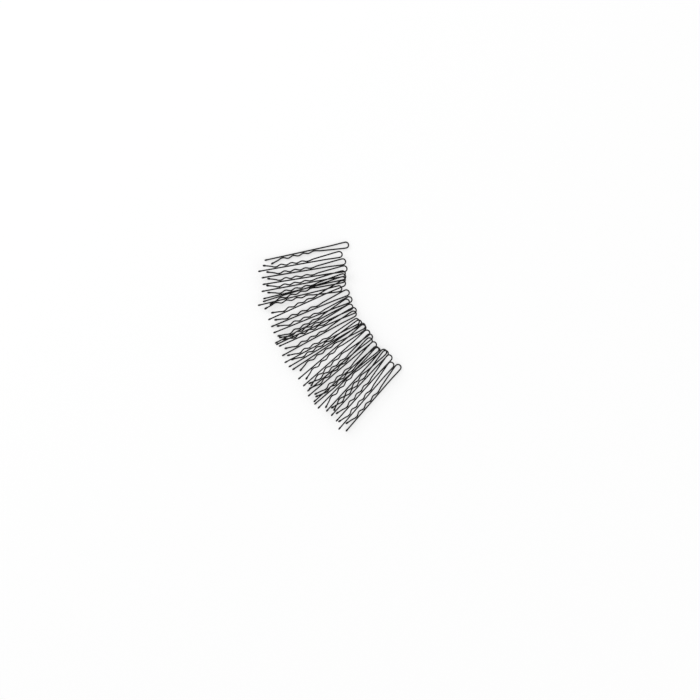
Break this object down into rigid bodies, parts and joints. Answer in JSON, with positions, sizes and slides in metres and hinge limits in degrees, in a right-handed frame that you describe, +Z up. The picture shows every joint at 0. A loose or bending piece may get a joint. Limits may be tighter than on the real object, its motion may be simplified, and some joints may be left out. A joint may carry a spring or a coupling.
{
  "type": "bobby pin set",
  "caption": "Fan of loose bobby pins: flat steel wire bent into a loop, with a straight leg, a crimped leg that springs open and a resin bead on each tip.",
  "frame": {"origin": "middle of the fan's outline, on the surface that it lies on", "axes": "+Z up from that surface, +Y towards the top of the fan, +X towards the pins' loops"},
  "size_m": [0.0834, 0.1104, 0.0066],
  "materials": {
    "black_enamel": "gloss black enamel on spring steel"
  },
  "bodies": {
    "pin_01": {"pin_01_straight_leg": "black_enamel"},
    "pin_01_spring_leg": {"pin_01_wavy_leg": "black_enamel"},
    "pin_02": {"pin_02_straight_leg": "black_enamel"},
    "pin_02_spring_leg": {"pin_02_wavy_leg": "black_enamel"},
    "pin_03": {"pin_03_straight_leg": "black_enamel"},
    "pin_03_spring_leg": {"pin_03_wavy_leg": "black_enamel"},
    "pin_04": {"pin_04_straight_leg": "black_enamel"},
    "pin_04_spring_leg": {"pin_04_wavy_leg": "black_enamel"},
    "pin_05": {"pin_05_straight_leg": "black_enamel"},
    "pin_05_spring_leg": {"pin_05_wavy_leg": "black_enamel"},
    "pin_06": {"pin_06_straight_leg": "black_enamel"},
    "pin_06_spring_leg": {"pin_06_wavy_leg": "black_enamel"},
    "pin_07": {"pin_07_straight_leg": "black_enamel"},
    "pin_07_spring_leg": {"pin_07_wavy_leg": "black_enamel"},
    "pin_08": {"pin_08_straight_leg": "black_enamel"},
    "pin_08_spring_leg": {"pin_08_wavy_leg": "black_enamel"},
    "pin_09": {"pin_09_straight_leg": "black_enamel"},
    "pin_09_spring_leg": {"pin_09_wavy_leg": "black_enamel"},
    "pin_10": {"pin_10_straight_leg": "black_enamel"},
    "pin_10_spring_leg": {"pin_10_wavy_leg": "black_enamel"},
    "pin_11": {"pin_11_straight_leg": "black_enamel"},
    "pin_11_spring_leg": {"pin_11_wavy_leg": "black_enamel"},
    "pin_12": {"pin_12_straight_leg": "black_enamel"},
    "pin_12_spring_leg": {"pin_12_wavy_leg": "black_enamel"},
    "pin_13": {"pin_13_straight_leg": "black_enamel"},
    "pin_13_spring_leg": {"pin_13_wavy_leg": "black_enamel"},
    "pin_14": {"pin_14_straight_leg": "black_enamel"},
    "pin_14_spring_leg": {"pin_14_wavy_leg": "black_enamel"},
    "pin_15": {"pin_15_straight_leg": "black_enamel"},
    "pin_15_spring_leg": {"pin_15_wavy_leg": "black_enamel"},
    "pin_16": {"pin_16_straight_leg": "black_enamel"},
    "pin_16_spring_leg": {"pin_16_wavy_leg": "black_enamel"},
    "pin_17": {"pin_17_straight_leg": "black_enamel"},
    "pin_17_spring_leg": {"pin_17_wavy_leg": "black_enamel"},
    "pin_18": {"pin_18_straight_leg": "black_enamel"},
    "pin_18_spring_leg": {"pin_18_wavy_leg": "black_enamel"},
    "pin_19": {"pin_19_straight_leg": "black_enamel"},
    "pin_19_spring_leg": {"pin_19_wavy_leg": "black_enamel"},
    "pin_20": {"pin_20_straight_leg": "black_enamel"},
    "pin_20_spring_leg": {"pin_20_wavy_leg": "black_enamel"},
    "pin_21": {"pin_21_straight_leg": "black_enamel"},
    "pin_21_spring_leg": {"pin_21_wavy_leg": "black_enamel"},
    "pin_22": {"pin_22_straight_leg": "black_enamel"},
    "pin_22_spring_leg": {"pin_22_wavy_leg": "black_enamel"},
    "pin_23": {"pin_23_straight_leg": "black_enamel"},
    "pin_23_spring_leg": {"pin_23_wavy_leg": "black_enamel"},
    "pin_24": {"pin_24_straight_leg": "black_enamel"},
    "pin_24_spring_leg": {"pin_24_wavy_leg": "black_enamel"},
    "pin_25": {"pin_25_straight_leg": "black_enamel"},
    "pin_25_spring_leg": {"pin_25_wavy_leg": "black_enamel"},
    "pin_26": {"pin_26_straight_leg": "black_enamel"},
    "pin_26_spring_leg": {"pin_26_wavy_leg": "black_enamel"},
    "pin_27": {"pin_27_straight_leg": "black_enamel"},
    "pin_27_spring_leg": {"pin_27_wavy_leg": "black_enamel"},
    "pin_28": {"pin_28_straight_leg": "black_enamel"},
    "pin_28_spring_leg": {"pin_28_wavy_leg": "black_enamel"},
    "pin_29": {"pin_29_straight_leg": "black_enamel"},
    "pin_29_spring_leg": {"pin_29_wavy_leg": "black_enamel"},
    "pin_30": {"pin_30_straight_leg": "black_enamel"},
    "pin_30_spring_leg": {"pin_30_wavy_leg": "black_enamel"}
  },
  "joints": [
    {"name": "pin_01_draw_out", "type": "slide", "parent": "pin_15", "child": "pin_01", "axis": [-0.9767, -0.2148, 0], "range_m": [0, 0.058]},
    {"name": "pin_02_draw_out", "type": "slide", "parent": "pin_15", "child": "pin_02", "axis": [-0.9845, -0.1754, 0], "range_m": [0, 0.058]},
    {"name": "pin_03_draw_out", "type": "slide", "parent": "pin_15", "child": "pin_03", "axis": [-0.9863, -0.1649, 0], "range_m": [0, 0.058]},
    {"name": "pin_04_draw_out", "type": "slide", "parent": "pin_15", "child": "pin_04", "axis": [-0.9872, -0.1594, 0], "range_m": [0, 0.058]},
    {"name": "pin_05_draw_out", "type": "slide", "parent": "pin_15", "child": "pin_05", "axis": [-0.9828, -0.1848, 0], "range_m": [0, 0.058]},
    {"name": "pin_06_draw_out", "type": "slide", "parent": "pin_15", "child": "pin_06", "axis": [-0.9714, -0.2374, 0], "range_m": [0, 0.058]},
    {"name": "pin_07_draw_out", "type": "slide", "parent": "pin_15", "child": "pin_07", "axis": [-0.9551, -0.2961, 0], "range_m": [0, 0.058]},
    {"name": "pin_08_draw_out", "type": "slide", "parent": "pin_15", "child": "pin_08", "axis": [-0.9726, -0.2323, 0], "range_m": [0, 0.058]},
    {"name": "pin_09_draw_out", "type": "slide", "parent": "pin_15", "child": "pin_09", "axis": [-0.911, -0.4123, 0], "range_m": [0, 0.058]},
    {"name": "pin_10_draw_out", "type": "slide", "parent": "pin_15", "child": "pin_10", "axis": [-0.9234, -0.3838, 0], "range_m": [0, 0.058]},
    {"name": "pin_11_draw_out", "type": "slide", "parent": "pin_15", "child": "pin_11", "axis": [-0.927, -0.375, 0], "range_m": [0, 0.058]},
    {"name": "pin_12_draw_out", "type": "slide", "parent": "pin_15", "child": "pin_12", "axis": [-0.8808, -0.4735, 0], "range_m": [0, 0.058]},
    {"name": "pin_13_draw_out", "type": "slide", "parent": "pin_15", "child": "pin_13", "axis": [-0.9042, -0.4272, 0], "range_m": [0, 0.058]},
    {"name": "pin_14_draw_out", "type": "slide", "parent": "pin_15", "child": "pin_14", "axis": [-0.9135, -0.4068, 0], "range_m": [0, 0.058]},
    {"name": "pin_16_draw_out", "type": "slide", "parent": "pin_15", "child": "pin_16", "axis": [-0.8822, -0.4709, 0], "range_m": [0, 0.058]},
    {"name": "pin_17_draw_out", "type": "slide", "parent": "pin_15", "child": "pin_17", "axis": [-0.8621, -0.5067, 0], "range_m": [0, 0.058]},
    {"name": "pin_18_draw_out", "type": "slide", "parent": "pin_15", "child": "pin_18", "axis": [-0.8321, -0.5547, 0], "range_m": [0, 0.058]},
    {"name": "pin_19_draw_out", "type": "slide", "parent": "pin_15", "child": "pin_19", "axis": [-0.7628, -0.6467, 0], "range_m": [0, 0.058]},
    {"name": "pin_20_draw_out", "type": "slide", "parent": "pin_15", "child": "pin_20", "axis": [-0.748, -0.6637, 0], "range_m": [0, 0.058]},
    {"name": "pin_21_draw_out", "type": "slide", "parent": "pin_15", "child": "pin_21", "axis": [-0.7734, -0.6339, 0], "range_m": [0, 0.058]},
    {"name": "pin_22_draw_out", "type": "slide", "parent": "pin_15", "child": "pin_22", "axis": [-0.761, -0.6488, 0], "range_m": [0, 0.058]},
    {"name": "pin_23_draw_out", "type": "slide", "parent": "pin_15", "child": "pin_23", "axis": [-0.7432, -0.6691, 0], "range_m": [0, 0.058]},
    {"name": "pin_24_draw_out", "type": "slide", "parent": "pin_15", "child": "pin_24", "axis": [-0.7662, -0.6426, 0], "range_m": [0, 0.058]},
    {"name": "pin_25_draw_out", "type": "slide", "parent": "pin_15", "child": "pin_25", "axis": [-0.6933, -0.7206, 0], "range_m": [0, 0.058]},
    {"name": "pin_26_draw_out", "type": "slide", "parent": "pin_15", "child": "pin_26", "axis": [-0.674, -0.7387, 0], "range_m": [0, 0.058]},
    {"name": "pin_27_draw_out", "type": "slide", "parent": "pin_15", "child": "pin_27", "axis": [-0.6783, -0.7348, 0], "range_m": [0, 0.058]},
    {"name": "pin_28_draw_out", "type": "slide", "parent": "pin_15", "child": "pin_28", "axis": [-0.6637, -0.748, 0], "range_m": [0, 0.058]},
    {"name": "pin_29_draw_out", "type": "slide", "parent": "pin_15", "child": "pin_29", "axis": [-0.6535, -0.7569, 0], "range_m": [0, 0.058]},
    {"name": "pin_30_draw_out", "type": "slide", "parent": "pin_15", "child": "pin_30", "axis": [-0.6552, -0.7554, 0], "range_m": [0, 0.058]},
    {"name": "pin_01_open", "type": "hinge", "parent": "pin_01", "child": "pin_01_spring_leg", "pos_m": [0.01128, 0.05354, 0.0008], "axis": [0, 0, 1], "range_deg": [0, 5], "stiffness_Nm_per_rad": 0.01, "springref_deg": -2.86},
    {"name": "pin_02_open", "type": "hinge", "parent": "pin_02", "child": "pin_02_spring_leg", "pos_m": [0.00759, 0.0478, 0.00413], "axis": [0, 0, -1], "range_deg": [0, 5], "stiffness_Nm_per_rad": 0.01, "springref_deg": -2.86},
    {"name": "pin_03_open", "type": "hinge", "parent": "pin_03", "child": "pin_03_spring_leg", "pos_m": [0.0096, 0.04366, 0.00246], "axis": [0, 0, -1], "range_deg": [0, 5], "stiffness_Nm_per_rad": 0.01, "springref_deg": -2.86},
    {"name": "pin_04_open", "type": "hinge", "parent": "pin_04", "child": "pin_04_spring_leg", "pos_m": [0.01038, 0.03942, 0.00579], "axis": [0, 0, -1], "range_deg": [0, 5], "stiffness_Nm_per_rad": 0.01, "springref_deg": -2.86},
    {"name": "pin_05_open", "type": "hinge", "parent": "pin_05", "child": "pin_05_spring_leg", "pos_m": [0.00944, 0.0367, 0.00413], "axis": [0, 0, -1], "range_deg": [0, 5], "stiffness_Nm_per_rad": 0.01, "springref_deg": -2.86},
    {"name": "pin_06_open", "type": "hinge", "parent": "pin_06", "child": "pin_06_spring_leg", "pos_m": [0.00964, 0.03515, 0.00246], "axis": [0, 0, -1], "range_deg": [0, 5], "stiffness_Nm_per_rad": 0.01, "springref_deg": -2.86},
    {"name": "pin_07_open", "type": "hinge", "parent": "pin_07", "child": "pin_07_spring_leg", "pos_m": [0.00936, 0.03369, 0.0008], "axis": [0, 0, 1], "range_deg": [0, 5], "stiffness_Nm_per_rad": 0.01, "springref_deg": -2.86},
    {"name": "pin_08_open", "type": "hinge", "parent": "pin_08", "child": "pin_08_spring_leg", "pos_m": [0.00735, 0.02823, 0.00246], "axis": [0, 0, 1], "range_deg": [0, 5], "stiffness_Nm_per_rad": 0.01, "springref_deg": -2.86},
    {"name": "pin_09_open", "type": "hinge", "parent": "pin_09", "child": "pin_09_spring_leg", "pos_m": [0.00936, 0.03159, 0.00413], "axis": [0, 0, -1], "range_deg": [0, 5], "stiffness_Nm_per_rad": 0.01, "springref_deg": -2.86},
    {"name": "pin_10_open", "type": "hinge", "parent": "pin_10", "child": "pin_10_spring_leg", "pos_m": [0.01157, 0.02623, 0.0008], "axis": [0, 0, -1], "range_deg": [0, 5], "stiffness_Nm_per_rad": 0.01, "springref_deg": -2.86},
    {"name": "pin_11_open", "type": "hinge", "parent": "pin_11", "child": "pin_11_spring_leg", "pos_m": [0.01314, 0.0222, 0.00246], "axis": [0, 0, -1], "range_deg": [0, 5], "stiffness_Nm_per_rad": 0.01, "springref_deg": -2.86},
    {"name": "pin_12_open", "type": "hinge", "parent": "pin_12", "child": "pin_12_spring_leg", "pos_m": [0.01154, 0.02107, 0.0008], "axis": [0, 0, -1], "range_deg": [0, 5], "stiffness_Nm_per_rad": 0.01, "springref_deg": -2.86},
    {"name": "pin_13_open", "type": "hinge", "parent": "pin_13", "child": "pin_13_spring_leg", "pos_m": [0.01357, 0.01796, 0.00413], "axis": [0, 0, -1], "range_deg": [0, 5], "stiffness_Nm_per_rad": 0.01, "springref_deg": -2.86},
    {"name": "pin_14_open", "type": "hinge", "parent": "pin_14", "child": "pin_14_spring_leg", "pos_m": [0.01558, 0.01599, 0.00246], "axis": [0, 0, -1], "range_deg": [0, 5], "stiffness_Nm_per_rad": 0.01, "springref_deg": -2.86},
    {"name": "pin_15_open", "type": "hinge", "parent": "pin_15", "child": "pin_15_spring_leg", "pos_m": [0.01553, 0.01414, 0.0008], "axis": [0, 0, -1], "range_deg": [0, 5], "stiffness_Nm_per_rad": 0.01, "springref_deg": -2.86},
    {"name": "pin_16_open", "type": "hinge", "parent": "pin_16", "child": "pin_16_spring_leg", "pos_m": [0.0173, 0.0097, 0.00413], "axis": [0, 0, -1], "range_deg": [0, 5], "stiffness_Nm_per_rad": 0.01, "springref_deg": -2.86},
    {"name": "pin_17_open", "type": "hinge", "parent": "pin_17", "child": "pin_17_spring_leg", "pos_m": [0.01856, 0.00897, 0.00246], "axis": [0, 0, -1], "range_deg": [0, 5], "stiffness_Nm_per_rad": 0.01, "springref_deg": -2.86},
    {"name": "pin_18_open", "type": "hinge", "parent": "pin_18", "child": "pin_18_spring_leg", "pos_m": [0.02069, 0.00723, 0.0008], "axis": [0, 0, 1], "range_deg": [0, 5], "stiffness_Nm_per_rad": 0.01, "springref_deg": -2.86},
    {"name": "pin_19_open", "type": "hinge", "parent": "pin_19", "child": "pin_19_spring_leg", "pos_m": [0.02085, 0.00655, 0.00413], "axis": [0, 0, 1], "range_deg": [0, 5], "stiffness_Nm_per_rad": 0.01, "springref_deg": -2.86},
    {"name": "pin_20_open", "type": "hinge", "parent": "pin_20", "child": "pin_20_spring_leg", "pos_m": [0.02303, 0.00346, 0.00579], "axis": [0, 0, 1], "range_deg": [0, 5], "stiffness_Nm_per_rad": 0.01, "springref_deg": -2.86},
    {"name": "pin_21_open", "type": "hinge", "parent": "pin_21", "child": "pin_21_spring_leg", "pos_m": [0.02472, 0.00116, 0.0008], "axis": [0, 0, -1], "range_deg": [0, 5], "stiffness_Nm_per_rad": 0.01, "springref_deg": -2.86},
    {"name": "pin_22_open", "type": "hinge", "parent": "pin_22", "child": "pin_22_spring_leg", "pos_m": [0.02452, -0.00102, 0.00246], "axis": [0, 0, -1], "range_deg": [0, 5], "stiffness_Nm_per_rad": 0.01, "springref_deg": -2.86},
    {"name": "pin_23_open", "type": "hinge", "parent": "pin_23", "child": "pin_23_spring_leg", "pos_m": [0.02689, -0.00327, 0.00413], "axis": [0, 0, -1], "range_deg": [0, 5], "stiffness_Nm_per_rad": 0.01, "springref_deg": -2.86},
    {"name": "pin_24_open", "type": "hinge", "parent": "pin_24", "child": "pin_24_spring_leg", "pos_m": [0.02841, -0.00606, 0.0008], "axis": [0, 0, -1], "range_deg": [0, 5], "stiffness_Nm_per_rad": 0.01, "springref_deg": -2.86},
    {"name": "pin_25_open", "type": "hinge", "parent": "pin_25", "child": "pin_25_spring_leg", "pos_m": [0.02887, -0.00649, 0.00579], "axis": [0, 0, 1], "range_deg": [0, 5], "stiffness_Nm_per_rad": 0.01, "springref_deg": -2.86},
    {"name": "pin_26_open", "type": "hinge", "parent": "pin_26", "child": "pin_26_spring_leg", "pos_m": [0.03268, -0.00745, 0.0008], "axis": [0, 0, 1], "range_deg": [0, 5], "stiffness_Nm_per_rad": 0.01, "springref_deg": -2.86},
    {"name": "pin_27_open", "type": "hinge", "parent": "pin_27", "child": "pin_27_spring_leg", "pos_m": [0.03363, -0.00815, 0.00246], "axis": [0, 0, -1], "range_deg": [0, 5], "stiffness_Nm_per_rad": 0.01, "springref_deg": -2.86},
    {"name": "pin_28_open", "type": "hinge", "parent": "pin_28", "child": "pin_28_spring_leg", "pos_m": [0.03571, -0.01066, 0.00413], "axis": [0, 0, -1], "range_deg": [0, 5], "stiffness_Nm_per_rad": 0.01, "springref_deg": -2.86},
    {"name": "pin_29_open", "type": "hinge", "parent": "pin_29", "child": "pin_29_spring_leg", "pos_m": [0.03669, -0.01484, 0.00579], "axis": [0, 0, -1], "range_deg": [0, 5], "stiffness_Nm_per_rad": 0.01, "springref_deg": -2.86},
    {"name": "pin_30_open", "type": "hinge", "parent": "pin_30", "child": "pin_30_spring_leg", "pos_m": [0.04098, -0.01621, 0.0008], "axis": [0, 0, -1], "range_deg": [0, 5], "stiffness_Nm_per_rad": 0.01, "springref_deg": -2.86}
  ]
}
